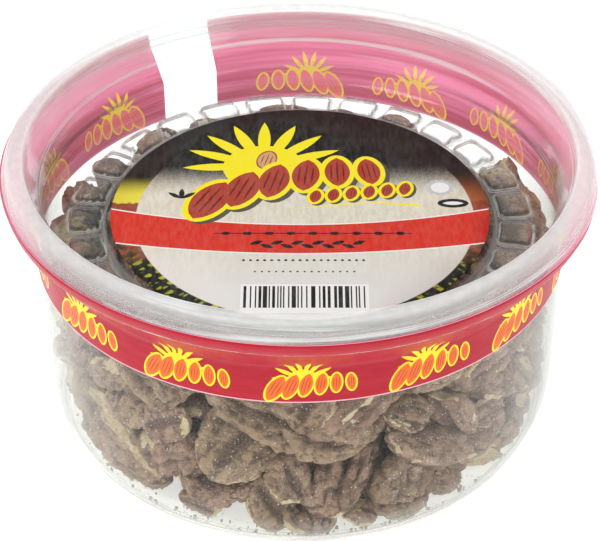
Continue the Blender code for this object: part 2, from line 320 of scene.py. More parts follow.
def pecan_skin():
    """Brown seed coat with lighter ridges, painted shade in its grooves and hollows, cream where it is
    broken, and specks of salt.
    """
    n = Nodes("pecan_skin")
    at = n.attribute("local")["Vector"]
    hollow_shade, broken, shade = n.split(n.attribute("marks")["Color"])
    shift = n.add("CombineXYZ", {0: shade, 1: shade, 2: shade}).outputs[0]
    own = n.add("VectorMath", {0: at, 1: shift}, operation="ADD").outputs[0]
    blotch = n.noise(own, 150.0, 4.0, 0.6)
    grain = n.noise(n.scaled(own, (0.3, 1.0, 1.0)), 900.0, 5.0, 0.65)
    fine = n.noise(own, 3200.0, 3.0, 0.7)
    knob = n.noise(own, 520.0, 4.0, 0.6, 0.4)
    coat = n.blend(n.span(blotch, 0.33, 0.66), (0.23, 0.125, 0.082), (0.42, 0.265, 0.185))
    coat = n.blend(n.span(grain, 0.35, 0.72, 0.0, 0.6), coat, (0.53, 0.37, 0.26))
    coat = n.blend(n.span(shade, 0.2, 1.0, 0.0, 0.5), coat, (0.46, 0.345, 0.20))
    # painted shade: darker in the low places of the knobbly bump
    coat = n.blend(n.span(knob, 0.34, 0.5, 0.6, 0.0), coat, (0.10, 0.06, 0.045))
    # painted shade: darker where the kernel's surface is hollow, in grooves, creases, notches and pits
    coat = n.blend(n.span(hollow_shade, 0.1, 0.95, 0.0, 0.78), coat, (0.085, 0.05, 0.036))
    dust = n.span(n.noise(own, 2300.0, 4.0, 0.75), 0.54, 0.64, 0.0, 0.5)
    dust = n.times(dust, n.span(n.noise(own, 90.0, 2.0), 0.4, 0.6))
    coat = n.blend(dust, coat, (0.80, 0.76, 0.70))
    cream = n.blend(n.span(grain, 0.3, 0.7), (0.56, 0.43, 0.235), (0.74, 0.64, 0.43))
    ragged = n.plus(broken, n.span(grain, 0.2, 0.8, -0.22, 0.22))
    colour = n.blend(n.span(ragged, 0.4, 0.6), coat, cream)
    grains = n.voronoi(own, 1150.0)
    crystal = n.span(grains["Distance"], 0.13, 0.22, 1.0, 0.0)
    chosen = n.span(n.split(grains["Color"])[0], 0.5, 0.52)
    patchy = n.span(n.noise(own, 120.0, 2.0), 0.3, 0.46)
    speck = n.times(n.times(crystal, chosen), patchy)
    colour = n.blend(speck, colour, (0.86, 0.85, 0.82))
    height = n.plus(n.times(grain, 0.7), n.times(fine, 0.25))
    height = n.plus(height, n.times(speck, 0.5))
    normal = n.bump(height, 0.4 * MM, 0.9, n.bump(knob, 1.6 * MM, 0.8))
    return n.principled(colour, n.span(grain, 0.3, 0.7, 0.52, 0.8), normal, {"Specular IOR Level": 0.35})


def crumb_skin():
    n = Nodes("crumb_skin")
    tone = n.noise(n.place(), 900.0, 3.0)
    grain = n.noise(n.place(), 4000.0, 3.0)
    colour = n.blend(n.span(tone, 0.4, 0.62), (0.20, 0.12, 0.08), (0.60, 0.47, 0.29))
    return n.principled(colour, 0.75, n.bump(grain, 0.2 * MM))


def salt_skin():
    n = Nodes("salt_skin")
    tone = n.noise(n.place(), 3000.0, 2.0)
    colour = n.blend(tone, (0.78, 0.79, 0.78), (0.93, 0.93, 0.92))
    return n.principled(colour, 0.3, n.bump(tone, 0.1 * MM))


def film_skin(name, backlight_wash, painted_glow):
    """Printed film: the ink layer's colour with faint streaks. Its back gets painted light: paler pink bands
    and a glow.
    """
    n = Nodes(name)
    at = n.place()
    ink = n.attribute("ink")["Color"]
    streak = n.noise(n.scaled(at, (1.0, 1.0, 6.0)), 130.0, 4.0, 0.6)
    mottle = n.noise(at, 1500.0, 3.0)
    colour = n.blend(n.span(streak, 0.35, 0.75, 0.0, 0.06), ink, (0.85, 0.20, 0.28))
    colour = n.blend(n.span(mottle, 0.3, 0.8, 0.0, 0.06), colour, (0.45, 0.01, 0.05))
    # painted light: the back is paled towards bright pink in soft bands, as if lit through the film, less on
    # yellow ink
    if backlight_wash:
        level = n.noise(n.scaled(at, (10.0, 10.0, 420.0)), 1.0, 3.0, 0.6)
        share = n.span(level, 0.34, 0.66, backlight_wash - 0.28, backlight_wash + 0.22)
        share = n.times(share, n.span(n.split(ink)[1], 0.1, 0.6, 1.0, 0.4))
        colour = n.blend(share, colour, (1.0, 0.34, 0.55))
    wrinkle = n.noise(n.scaled(at, (1.0, 1.0, 2.5)), 110.0, 3.0, 0.5, 0.6)
    normal = n.bump(wrinkle, 0.5 * MM, 0.35)
    rough = n.span(mottle, 0.3, 0.7, 0.3, 0.38)
    shine = {"Specular IOR Level": 0.18, "Coat Weight": 0.06, "Coat Roughness": 0.08}
    # painted light: the back glows in its own colour
    light = {"Emission Color": colour, "Emission Strength": painted_glow}
    return n.principled(colour, rough, normal, shine | light)


def label_skin():
    """Printed label: black sky fading to a cream disc, rows of greenery round it, and flat inks over them."""
    n = Nodes("printed_label")
    night = (0.012, 0.012, 0.010)
    at = n.place()
    axes = n.add("SeparateXYZ", {"Vector": at})
    across, up = axes.outputs[0], axes.outputs[1]
    ink = n.attribute("ink")
    grit = n.noise(at, 5200.0, 2.0, 0.8)
    paper_grain = n.noise(n.scaled(at, (1.0, 0.25, 1.0)), 1400.0, 3.0, 0.6)
    cream = n.blend(n.span(paper_grain, 0.3, 0.7), (0.66, 0.60, 0.47), (0.76, 0.72, 0.61))
    cream = n.blend(n.span(up, -30 * MM, -2 * MM, 1.0, 0.0), cream, (0.70, 0.70, 0.66))
    fade = n.plus(up, n.times(n.maths("SUBTRACT", grit, 0.5), 9 * MM))
    cream = n.blend(n.span(fade, 6 * MM, 17 * MM), cream, night)
    off_x = n.maths("SUBTRACT", across, 1.0 * MM)
    off_y = n.plus(up, 2.0 * MM)
    squares = n.plus(n.times(off_x, off_x), n.times(off_y, off_y))
    disc = n.span(n.maths("SQRT", squares), 34.3 * MM, 34.6 * MM, 1.0, 0.0)

    clumps = n.voronoi(n.scaled(at, (1.0, 1.25, 1.0)), 500.0)
    leaves = n.span(clumps["Distance"], 0.34, 0.52, 1.0, 0.0)
    rows = n.maths("SINE", n.times(n.plus(n.maths("ABSOLUTE", across), up), 1900.0))
    rows = n.span(rows, -0.5, 0.6)
    green = n.blend(n.noise(at, 420.0, 2.0), (0.10, 0.17, 0.015), (0.62, 0.60, 0.05))
    field = n.blend(n.times(leaves, rows), (0.012, 0.016, 0.010), green)
    earth = n.blend(n.span(n.noise(at, 300.0, 3.0), 0.35, 0.6), (0.06, 0.035, 0.02), (0.30, 0.10, 0.04))
    field = n.blend(n.span(up, -19 * MM, -14 * MM), field, earth)
    sky_left = n.blend(n.span(up, 5.5 * MM, 13 * MM), (0.78, 0.72, 0.06), night)
    sky_right = n.blend(n.span(up, 3 * MM, 15 * MM), (0.42, 0.12, 0.03), night)
    sky = n.blend(n.span(across, -5 * MM, 5 * MM), sky_left, sky_right)
    hill = n.maths("SUBTRACT", up, n.times(n.noise(at, 240.0, 2.0), 7 * MM))
    sky = n.blend(n.span(hill, -0.6 * MM, 0.0, 1.0, 0.0), sky, (0.30, 0.07, 0.03))
    ring = n.blend(n.span(up, -6 * MM, -5 * MM), field, sky)
    ground = n.blend(disc, ring, cream)
    colour = n.blend(ink["Alpha"], ground, ink["Color"])
    colour = n.blend(n.span(paper_grain, 0.3, 0.75, 0.0, 0.05), colour, (0.85, 0.85, 0.83))
    normal = n.bump(n.noise(at, 2600.0, 3.0), 0.05 * MM, 0.35)
    rough = n.span(paper_grain, 0.3, 0.7, 0.42, 0.54)
    return n.principled(colour, rough, normal, {"Specular IOR Level": 0.08})


def floor_skin():
    n = Nodes("pale_floor")
    tone = n.noise(n.place(), 40.0, 3.0)
    colour = n.blend(tone, (0.93, 0.93, 0.93), (0.95, 0.95, 0.95))
    normal = n.bump(tone, 0.1 * MM, 0.1)
    light = {"Emission Color": (1.0, 1.0, 1.0), "Emission Strength": 0.58}
    return n.principled(colour, 0.9, normal, light)


# Turned shells


def rounded(corners, longest):
    """Points along straight runs between (radius, height, fillet) corners, at most longest apart."""
    spots = [Vector(corner[:2]) for corner in corners]
    path = [spots[0]]
    for before, here, after, corner in zip(spots, spots[1:], spots[2:], corners[1:]):
        reach = min(corner[2], (here - before).length * 0.48, (after - here).length * 0.48)
        if reach < 0.02 * MM:
            path.append(here)
            continue
        start = here + (before - here).normalized() * reach
        end = here + (after - here).normalized() * reach
        path += [start.lerp(here, t).lerp(here.lerp(end, t), t) for t in np.linspace(0, 1, 7)]
    path.append(spots[-1])
    points = [path[0]]
    for a, b in pairwise(path):
        pieces = max(1, ceil((b - a).length / longest(a, b)))
        points += [a.lerp(b, (k + 1) / pieces) for k in range(pieces)]
    return np.array([tuple(p) for p in points])


def sheet_section(outer, thickness):
    """Closes an outer line into a section, with a second line one thickness inside it."""
    run = np.gradient(outer, axis=0)
    run /= np.linalg.norm(run, axis=1)[:, None]
    normal = np.stack([-run[:, 1], run[:, 0]], axis=1)
    inner = outer - normal * thickness
    inner[:, 0] = np.maximum(inner[:, 0], 0)
    inner[0, 0] = 0
    return np.concatenate([outer, inner[::-1]])


def turned(name, section, angles, skins, lift, look):
    """The section turned round Z. lift raises points; look says how milky it is and where it has painted
    shade lines, painted highlights and painted glints.
    """
    radius, height = section[:, 0][:, None], section[:, 1][:, None]
    turn = np.asarray(angles)[None]
    rise = lift(radius, turn, height) if lift else 0.0
    points = np.stack([radius * np.cos(turn), radius * np.sin(turn), height + rise + 0 * turn], axis=-1)
    made = mesh_object(name, points.reshape(-1, 3), ring_faces(*points.shape[:2]), skins)
    weld(made.data, 0.002 * MM, outward=True)
    where = np.array([vert.co for vert in made.data.vertices])
    looks = look(np.hypot(where[:, 0], where[:, 1]), np.arctan2(where[:, 1], where[:, 0]), where[:, 2])
    paint(made.data, "look", np.stack(looks, axis=1))
    made.data.shade_smooth()
    return made


def wall_radius(height):
    """Radius of the outside of the tub's wall."""
    return np.interp(height, [CORNER_HEIGHT, WALL_TOP], [WALL_LOW_RADIUS, WALL_TOP_RADIUS])


def corners_from(radius, height, steps):
    """Corners given in millimetres from a point: outwards, upwards, and the fillet."""
    return [(radius + out * MM, height + up * MM, fillet * MM) for out, up, fillet in steps]


def tub_outline():
    """Corners of the tub's outer line, from the middle of its base up to the edge of its flange."""
    base_ring = [(-8.6, 0.0, 0.3), (-8.2, 0.25, 0.3), (-7.8, 0.0, 0.3)]
    foot = [(-5.2, 0.0, 0.9), (-2.7, 2.4, 0.8), (-2.55, 3.5, 0.3), (-1.7, 4.6, 0.8)]
    return [
        (0.0, 0.0, 0.0),
        *corners_from(WALL_LOW_RADIUS, 0.0, base_ring + foot),
        (WALL_LOW_RADIUS, CORNER_HEIGHT, 3.0 * MM),
        (WALL_TOP_RADIUS, WALL_TOP, 1.0 * MM),
        (WALL_TOP_RADIUS + 1.2 * MM, TUB_HEIGHT - 1.2 * MM, 0.8 * MM),
        (FLANGE_RADIUS, TUB_HEIGHT - 0.7 * MM, 0.0),
    ]


def make_tub(skin):
    outer = rounded(tub_outline(), lambda a, b: 2.5 * MM)
    section = sheet_section(outer, -TUB_SHEET)
    section[:, 1] = np.clip(section[:, 1], 0.0, TUB_HEIGHT)
    angles = np.linspace(0, tau, 192, endpoint=False)

    def look(radius, turn, height):
        foot = ridge(height, 2.0 * MM, 2.2 * MM) * (radius > WALL_LOW_RADIUS - 6 * MM)
        outside = radius > WALL_LOW_RADIUS - 4 * MM
        # painted highlight: a bright milky line round the foot
        heel_highlight = ridge(height, 3.0 * MM, 0.45 * MM) * outside
        # painted shade: a dark line round the foot just above it
        line = 0.35 * ridge(height, 4.4 * MM, 0.5 * MM) * outside
        # milky share: a little haze, more at the foot and up the flange, plus the painted highlight
        milk_and_painted_highlights = 0.003 + 0.03 * foot + 0.3 * heel_highlight + 0.05 * ramp(height, WALL_TOP, TUB_HEIGHT)
        return milk_and_painted_highlights, line, 0 * milk_and_painted_highlights

    place(turned("clear_tub", section, angles, [skin], None, look), "tub_plastic", "tub")


def lid_outline():
    """Corners of the lid's upper line, from its middle out over the rim to the lip."""
    panel = LABEL_RADIUS + 1.2 * MM
    well = FLANGE_RADIUS - 6.4 * MM
    crest = FLANGE_RADIUS - 3.1 * MM
    bead = [(-3.4, 0.0, 0.8), (-0.8, 1.8, 0.8), (0.0, 4.4, 0.5), (0.45, 5.1, 0.3), (0.0, 5.9, 0.3)]
    return [
        (0.0, PANEL_TOP, 0.0),
        (panel, PANEL_TOP, 0.5 * MM),
        (panel + 0.6 * MM, RING_FLOOR, 0.5 * MM),
        *corners_from(well, RING_FLOOR, bead),
        (well + 0.2 * MM, LID_TOP - 6.4 * MM, 1.0 * MM),
        *corners_from(crest, LID_TOP, [(-0.9, -2.6, 0.9), (-0.2, -0.5, 0.4), (0.4, 0.0, 0.5)]),
        (FLANGE_RADIUS - 0.3 * MM, LID_TOP, 1.2 * MM),
        (SKIRT_RADIUS, LID_TOP - 4.0 * MM, 0.9 * MM),
        (SKIRT_RADIUS - 0.7 * MM, LIP_HEIGHT, 0.0),
    ]


def past_pad(radius, turn):
    """Distance outside the nearest pad's outline, negative inside it."""
    pitch = tau / PAD_COUNT
    across = (np.mod(turn / pitch, 1.0) - 0.5) * pitch * radius
    along = radius - (PAD_INNER + PAD_OUTER) / 2
    corner = 1.1 * MM
    half_across = 0.37 * pitch * radius - corner
    half_along = (PAD_OUTER - PAD_INNER) / 2 - corner
    return np.hypot(np.maximum(abs(across) - half_across, 0), np.maximum(abs(along) - half_along, 0)) - corner


def pad_lift(radius, turn, height):
    """Each pad is a raised block with rounded corners between two radial grooves."""
    past = past_pad(radius, turn)
    on_ring = (radius > PAD_INNER - 2 * MM) & (radius < PAD_OUTER + 2 * MM) & (height < RING_FLOOR + 0.6 * MM)
    return np.where(on_ring, ramp(-past, -0.35 * MM, 0.45 * MM) * PAD_RISE, 0.0)


def make_lid(skin):
    ring = (PAD_INNER - 0.6 * MM, PAD_OUTER + 0.6 * MM)

    def longest(a, b):
        return 0.33 * MM if min(a.x, b.x) < ring[1] and max(a.x, b.x) > ring[0] + 0.2 * MM else 2.5 * MM

    corners = lid_outline()
    corners.insert(1, (LABEL_RADIUS, PANEL_TOP, 0.0))
    corners.insert(4, (ring[0], RING_FLOOR, 0.0))
    corners.insert(5, (ring[1], RING_FLOOR, 0.0))
    section = sheet_section(rounded(corners, longest), LID_SHEET)
    share = np.array([0.0, 0.04, 0.08, 0.105, 0.13, 0.155, 0.18, 0.22, 0.3, 0.4, 0.5])
    share = np.concatenate([share, 1 - share[1:-1][::-1]])
    angles = ((np.arange(PAD_COUNT)[:, None] + share[None]) * tau / PAD_COUNT).ravel()

    def look(radius, turn, height):
        low = height < RING_FLOOR + PAD_RISE + 0.5 * MM
        on_ring = low & (radius > PAD_INNER - 1 * MM) & (radius < PAD_OUTER + 1 * MM)
        wave = noise_at(radius / (2 * MM), radius * turn / (2 * MM), 0.0)
        past = past_pad(radius, turn) + 0.25 * MM * wave
        # painted shade and highlight: a dark line round each pad's wavy edge, standing in for refraction, and
        # a bright line just outside it
        painted_edge_shade = on_ring * ridge(past, 0.0, 0.17 * MM) * 0.75
        painted_edge_highlight = on_ring * ridge(past, 0.42 * MM, 0.15 * MM) * 0.5
        # the rim turns milky white towards its top, partly haze and partly painted reflection
        rim = 0.12 + 0.30 * ramp(height, LID_TOP - 2 * MM, LID_TOP)
        rim = rim * ramp(height, LID_TOP - 9 * MM, LID_TOP - 3 * MM)
        # painted shade: a dark line along the bead, on the left and right sides only
        bead = ridge(height, RING_FLOOR + 5.1 * MM, 0.25 * MM) * (radius < FLANGE_RADIUS - 5 * MM)
        bead = bead * ramp(abs(np.cos(turn)), 0.55, 0.95)
        # painted highlight: a bright line along the crest
        crest = ridge(radius, FLANGE_RADIUS - 3.2 * MM, 0.35 * MM) * ramp(height, LID_TOP - 1.5 * MM, LID_TOP)
        # painted shade and highlight: a dark and a bright line round the panel's edge
        panel = ridge(radius, LABEL_RADIUS + 1.5 * MM, 0.3 * MM) * low
        # the pads also get a little painted brightening
        milk_and_painted_highlights = 0.006 + rim + painted_edge_highlight + 0.25 * crest + 0.3 * panel + 0.05 * on_ring
        # painted glints on the wall above the ring
        wall = ramp(height, RING_FLOOR + 4 * MM, RING_FLOOR + 6 * MM)
        return milk_and_painted_highlights, np.clip(painted_edge_shade + 0.7 * bead + 0.35 * panel, 0, 1), wall

    place(turned("clear_lid", section, angles, [skin], pad_lift, look), "lid_plastic", "lid")


# Flat artwork


def mm(*values):
    return [value * MM for value in values]


def moved(outline, x, y, turn):
    """The outline turned round its origin, with the origin moved to x, y."""
    return [(x + a * cos(turn) - b * sin(turn), y + a * sin(turn) + b * cos(turn)) for a, b in outline]


def ellipse(x, y, half_x, half_y, turn=0.0, steps=28):
    outline = [(half_x * cos(tau * k / steps), half_y * sin(tau * k / steps)) for k in range(steps)]
    return moved(outline, x, y, turn)


def leaf(x, y, length, width, turn, steps=9, bluntness=0.8):
    """A pointed leaf that starts at x, y."""
    side = [(length * t, width / 2 * max(sin(pi * t), 0) ** bluntness) for t in np.linspace(0, 1, steps)]
    return moved(side + [(a, -b) for a, b in side[-2:0:-1]], x, y, turn)[::-1]


def band(low, high, left, right, steps=40):
    """The area between two lines y = low(x) and y = high(x)."""
    xs = np.linspace(left, right, steps)
    return [(x, low(x)) for x in xs] + [(x, high(x)) for x in xs[::-1]]


def box(left, bottom, right, top):
    return [(left, bottom), (right, bottom), (right, top), (left, top)]


def anticlockwise(outline):
    doubled = sum(a[0] * b[1] - b[0] * a[1] for a, b in zip(outline, outline[1:] + outline[:1]))
    return outline if doubled > 0 else outline[::-1]


YELLOW = (0.93, 0.80, 0.015)
RUST = (0.42, 0.055, 0.03)
TAN = (0.62, 0.38, 0.17)
DARK_RUST = (0.16, 0.016, 0.012)
SHADOW = (0.10, 0.085, 0.06)
ORANGE = (0.86, 0.16, 0.015)
STRIPE_RED = (0.66, 0.035, 0.018)
BLACK = (0.014, 0.013, 0.012)
WHITE = (0.84, 0.84, 0.82)
SILVER = (0.55, 0.56, 0.56)
FILM_RED = (0.42, 0.006, 0.020)
FILM_EDGE = (0.80, 0.45, 0.50)


def nut_row(centres, outline, fill, groove, line, shadow=None):
    """Drawn pecan halves, (x, y, half length, half width, turn): outlined ovals with three grooves."""
    inks = []
    if shadow:
        drop = line * 0.9
        for x, y, a, b, turn in centres:
            inks.append((shadow, ellipse(x + drop, y - drop, a + line, b + line, turn)))
    inks += [(outline, ellipse(x, y, a + line, b + line, turn)) for x, y, a, b, turn in centres]
    for x, y, half_x, half_y, turn in centres:
        start = (x - half_x * cos(turn), y - half_x * sin(turn))
        inks.append((fill, leaf(*start, 2 * half_x, 2 * half_y, turn, 13, 0.62)))
        for side, share in ((-0.48, 0.55), (0.0, 0.72), (0.48, 0.55)):
            dx, dy = -sin(turn) * side * half_y, cos(turn) * side * half_y
            inks.append((groove, ellipse(x + dx, y + dy, half_x * share, half_y * 0.075, turn, 10)))
    return inks


def nut_arch(x, y, size, half, lean):
    """Centres of six nuts that rise, shrink and lean more and more. The ends of the row hang by y[2]."""
    row = []
    for k in range(6):
        share = k / 5
        scale = size[0] - size[1] * share
        middle = ((x[0] + x[1] * share) * MM, (y[0] + y[1] * share - y[2] * (2 * share - 1) ** 2) * MM)
        row.append((*middle, half[0] * scale * MM, half[1] * scale * MM, radians(64 + lean * share)))
    return row


def fan(x, y, inner, outer, width, first, last, count, colour):
    """Pointed leaves spread round a point."""
    inks = []
    for k in range(count):
        turn = first + (last - first) * k / (count - 1)
        start = (x + inner * cos(turn), y + inner * sin(turn))
        inks.append((colour, leaf(*start, outer - inner, width, turn)))
    return inks


def lid_artwork():
    """Inks of the lid label, later ones on top, as (colour, outline)."""
    reach = LABEL_RADIUS - 0.5 * MM

    def top(x):
        return -4.9 * MM + 5.4 * MM * (x / reach) ** 2

    def bottom(x):
        return -14.6 * MM + 3.9 * MM * (x / reach) ** 2

    edge = 0.42 * MM
    sides = LABEL_RADIUS * 1.1
    inks = [
        (WHITE, band(lambda x: bottom(x) - edge, lambda x: top(x) + edge, -sides, sides)),
        (STRIPE_RED, band(bottom, top, -sides, sides)),
        (WHITE, box(*mm(-11.6, -34.4, 13.4, -25.0))),
    ]
    rng = np.random.default_rng(SEED)
    x = -11.0 * MM
    while x < 12.4 * MM:
        wide = rng.choice([0.28, 0.28, 0.56, 0.84]) * MM
        inks.append((BLACK, box(x, -32.6 * MM, x + wide, -25.6 * MM)))
        x += wide + rng.choice([0.28, 0.42, 0.7]) * MM

    inks += fan(*mm(-7.6, 16.6, 3.0, 17.0, 2.7), radians(-2), radians(182), 9, YELLOW)
    inks.append((YELLOW, ellipse(*mm(-7.6, 16.2, 8.6, 8.2))))
    inks += nut_row([(*mm(-7.0, 19.0, 3.3, 1.9), 1.35)], RUST, TAN, RUST, 0.25 * MM)
    row = nut_arch(x=(-18.6, 33.0), y=(7.0, 10.6, 3.0), size=(1.22, 0.42), half=(6.0, 3.0), lean=34)
    inks += nut_row(row, YELLOW, RUST, DARK_RUST, 1.0 * MM, SHADOW)
    small = [((3.2 + 3.7 * k) * MM, (5.4 + 0.55 * k) * MM, 2.3 * MM, 1.2 * MM, radians(80)) for k in range(6)]
    inks += nut_row(small, YELLOW, RUST, DARK_RUST, 0.62 * MM, SHADOW)

    def swoosh(x):
        return 1.9 * MM + 1.3 * MM * cos((x / MM - 16) / 7.5)

    def under_swoosh(x):
        return swoosh(x) - (0.1 * MM + (x + 1 * MM) * 0.028)

    inks.append((YELLOW, band(under_swoosh, swoosh, -1 * MM, 24.6 * MM)))

    inks.append((BLACK, box(*mm(-17.4, -7.95, 22.6, -7.65))))
    for k in range(-4, 5):
        inks.append((BLACK, ellipse((2.6 + 4.4 * k) * MM, -7.8 * MM, 0.95 * MM, 0.6 * MM, 0, 10)))
    for k in range(-5, 6):
        lean = radians(24 if k % 2 else -24)
        inks.append((BLACK, leaf((0.2 + 2.05 * k) * MM, -11.6 * MM, 2.9 * MM, 1.25 * MM, lean)))
    for count, left, height, dot in ((18, -11.2, -17.0 * MM, 0.33 * MM), (15, -8.9, -20.8 * MM, 0.24 * MM)):
        inks += [(BLACK, ellipse((left + 1.4 * k) * MM, height, dot, dot, 0, 8)) for k in range(count)]
    medal = []
    for angle in np.linspace(0, tau, 56, endpoint=False):
        reach = 2.75 * (1 + 0.09 * cos(14 * angle))
        medal.append(((29.0 + reach * cos(angle)) * MM, (8.6 + reach * sin(angle)) * MM))
    inks += [
        (SILVER, medal),
        (WHITE, ellipse(*mm(29.0, 8.6, 1.9, 1.9))),
        (BLACK, ellipse(*mm(31.4, 2.9, 3.2, 1.6))),
        (WHITE, leaf(*mm(29.2, 2.9, 4.4, 1.3), 0)),
    ]
    for lean in (-0.9, 0.0, 0.9):
        inks.append((BLACK, leaf(*mm(-24.4, 4.6, 3.6, 1.15), pi / 2 + lean)))
    return inks


def motif_artwork():
    """Inks of one repeat of the wrap, as (colour, outline): x runs along the strip from the middle, y up."""
    inks = fan(*mm(-2.0, 6.6, 1.2, 6.4, 1.0), radians(2), radians(178), 8, YELLOW)
    inks.append((YELLOW, ellipse(*mm(-2.0, 6.4, 3.1, 2.8), 0, 18)))
    row = nut_arch(x=(-7.6, 15.4), y=(4.5, 1.2, 0.6), size=(1.3, 0.5), half=(2.9, 1.22), lean=32)
    return inks + nut_row(row, YELLOW, ORANGE, RUST, 0.34 * MM)


def partition(inks, lines=()):
    """Cuts the first ink's outline along the others' and the lines: points, triangles and their top ink."""
    points, edges, faces = [], [], []
    for _, outline in inks:
        start = len(points)
        points += [Vector(p) for p in anticlockwise(outline)]
        faces.append(list(range(start, len(points))))
    for a, b in lines:
        edges.append((len(points), len(points) + 1))
        points += [Vector(a), Vector(b)]
    cut = delaunay_2d_cdt(points, edges, faces, 1, 0.002 * MM, True)
    kept = [(face, max(over)) for face, over in zip(cut[2], cut[5]) if 0 in over]
    flat = np.array([tuple(p) for p in cut[0]])
    return flat, [face for face, top in kept], np.array([top for face, top in kept])


def ink_corners(mesh, inks, tops):
    """The ink's colour on each face, with alpha 0 where the ground shows."""
    colours = np.array([(*colour, 1.0) if colour else (0.0, 0.0, 0.0, 0.0) for colour, _ in inks])
    layer = mesh.color_attributes.new("ink", "FLOAT_COLOR", "CORNER")
    counts = [len(face.vertices) for face in mesh.polygons]
    layer.data.foreach_set("color", np.repeat(colours[tops], counts, axis=0).astype(np.float32).ravel())


def thicken(piece, thickness, back_slot=0):
    """Gives a sheet its thickness below its face, then applies it."""
    shell = piece.modifiers.new("thickness", "SOLIDIFY")
    shell.thickness = thickness
    shell.offset = -1.0
    shell.material_offset = back_slot
    shell.material_offset_rim = back_slot
    evaluated = piece.evaluated_get(bpy.context.evaluated_depsgraph_get())
    mesh = bpy.data.meshes.new_from_object(evaluated)
    piece.modifiers.clear()
    piece.data = mesh


def make_lid_label(skin):
    inks = [(None, ellipse(0, 0, LABEL_RADIUS, LABEL_RADIUS, 0, 180))] + lid_artwork()
    flat, triangles, tops = partition(inks)
    points = np.column_stack([flat, np.full(len(flat), LABEL_TOP)])
    made = mesh_object("printed_lid_label", points, triangles, [skin])
    ink_corners(made.data, inks, tops)
    thicken(made, PAPER)
    place(made, "printed_paper", "lid_label")


# The wrap


def film_turn(along):
    """Angle round the tub of a point that far along the strip: the film is stretched a little unevenly."""
    shift = radians(3.0) * np.cos(along - radians(240.0))
    return along + shift * ramp(along, WRAP_FROM, WRAP_FROM + 0.3) * ramp(-along, -WRAP_TO, -WRAP_TO + 0.3)


def wrap_bottom(turn):
    """The strip is stuck on a little askew."""
    return WRAP_BOTTOM + 0.9 * MM * (1 + np.cos(turn)) / 2


def wrap_surface(turn, share):
    """Radius and height of the film at a share of its width, from its lower edge up."""
    bottom = wrap_bottom(turn)
    lands = LIP_HEIGHT - 6.6 * MM
    gap = 0.14 * MM + FILM
    dip = 1.6 * MM * ridge(np.mod(turn + pi, tau) - pi, 0.0, 0.45)
    heights = np.stack([bottom, lands + 0 * turn, LIP_HEIGHT + 0.5 * MM + 0 * turn, WRAP_TOP - dip])
    lip = SKIRT_RADIUS - 0.62 * MM
    radii = np.stack([wall_radius(bottom) + gap, wall_radius(lands) + gap + 0 * turn, lip + gap + 0 * turn,
                      SKIRT_RADIUS + gap - 0.5 * dip])
    runs = np.hypot(np.diff(heights, axis=0), np.diff(radii, axis=0))
    reach = np.concatenate([[0 * turn], np.cumsum(runs, axis=0)])
    along = share * reach[-1]
    height, radius = np.zeros_like(turn), np.zeros_like(turn)
    for k in range(3):
        here = (along >= reach[k]) & (along <= reach[k + 1] + 1e-12)
        part = (along - reach[k]) / (reach[k + 1] - reach[k])
        height = np.where(here, heights[k] + part * (heights[k + 1] - heights[k]), height)
        radius = np.where(here, radii[k] + part * (radii[k + 1] - radii[k]), radius)
    return radius, height


def make_wrap(front, back):
    radius = 0.5 * (WALL_TOP_RADIUS + SKIRT_RADIUS)
    width = 23.0 * MM
    half = MOTIF_PITCH * radius / 2
    tile = [(FILM_RED, box(-half, 0.0, half, width)), (FILM_EDGE, box(-half, 0.0, half, 0.32 * MM))]
    tile += motif_artwork()
    rows, columns = 24, 5  # the film is cut this finely to bend: rows across it, columns in its plain ends
    step = 2 * half / rows
    lines = [((-half + k * step, 0.0), (-half + k * step, width)) for k in range(1, rows)]
    lines += [((-half, width * k / rows), (half, width * k / rows)) for k in range(1, rows)]
    flat, triangles, tops = partition(tile, lines)
    points, faces, over = [], [], []

    def lay(piece, start, size, shapes, which):
        base = sum(len(p) for p in points)
        along = start + piece[:, 0] * size
        points.append(np.column_stack([along, np.clip(piece[:, 1] / width, 0, 1)]))
        faces.extend([[base + v for v in face] for face in shapes])
        over.extend(which)

    for k in range(MOTIF_COUNT):
        lay(flat, FIRST_MOTIF + k * MOTIF_PITCH, 1 / radius, triangles, tops.tolist())
    grid = np.array([(c / columns, width * r / rows) for r in range(rows + 1) for c in range(columns + 1)])
    squares = grid_faces(rows, columns)
    first_edge = FIRST_MOTIF - MOTIF_PITCH / 2
    last_edge = FIRST_MOTIF + (MOTIF_COUNT - 0.5) * MOTIF_PITCH
    lay(grid, WRAP_FROM, first_edge - WRAP_FROM, squares, [0] * len(squares))
    lay(grid, last_edge, WRAP_TO - last_edge, squares, [0] * len(squares))

    strip = np.concatenate(points)
    turn = film_turn(strip[:, 0])
    out, height = wrap_surface(turn, strip[:, 1])
    bridge = np.exp(-(((height - LIP_HEIGHT + 3.0 * MM) / (3.0 * MM)) ** 2))
    pucker = abs(noise_at(np.cos(turn) * 26, np.sin(turn) * 26, height / (12 * MM), 3.0))
    swell = noise_at(np.cos(turn) * 9.0, np.sin(turn) * 9.0, height / (9 * MM), 9.0)
    out = out - bridge * 0.28 * MM * pucker + 0.05 * MM * swell
    out = np.minimum(out, WRAP_RADIUS)
    solid = np.stack([out * np.cos(turn), out * np.sin(turn), height], axis=1)
    made = mesh_object("printed_wrap", solid, faces, [front, back])
    ink_corners(made.data, tile, np.array(over))
    weld(made.data, 0.004 * MM)
    thicken(made, FILM, 1)
    made.data.shade_smooth()
    place(made, "printed_film", "side_label")


# Kernels


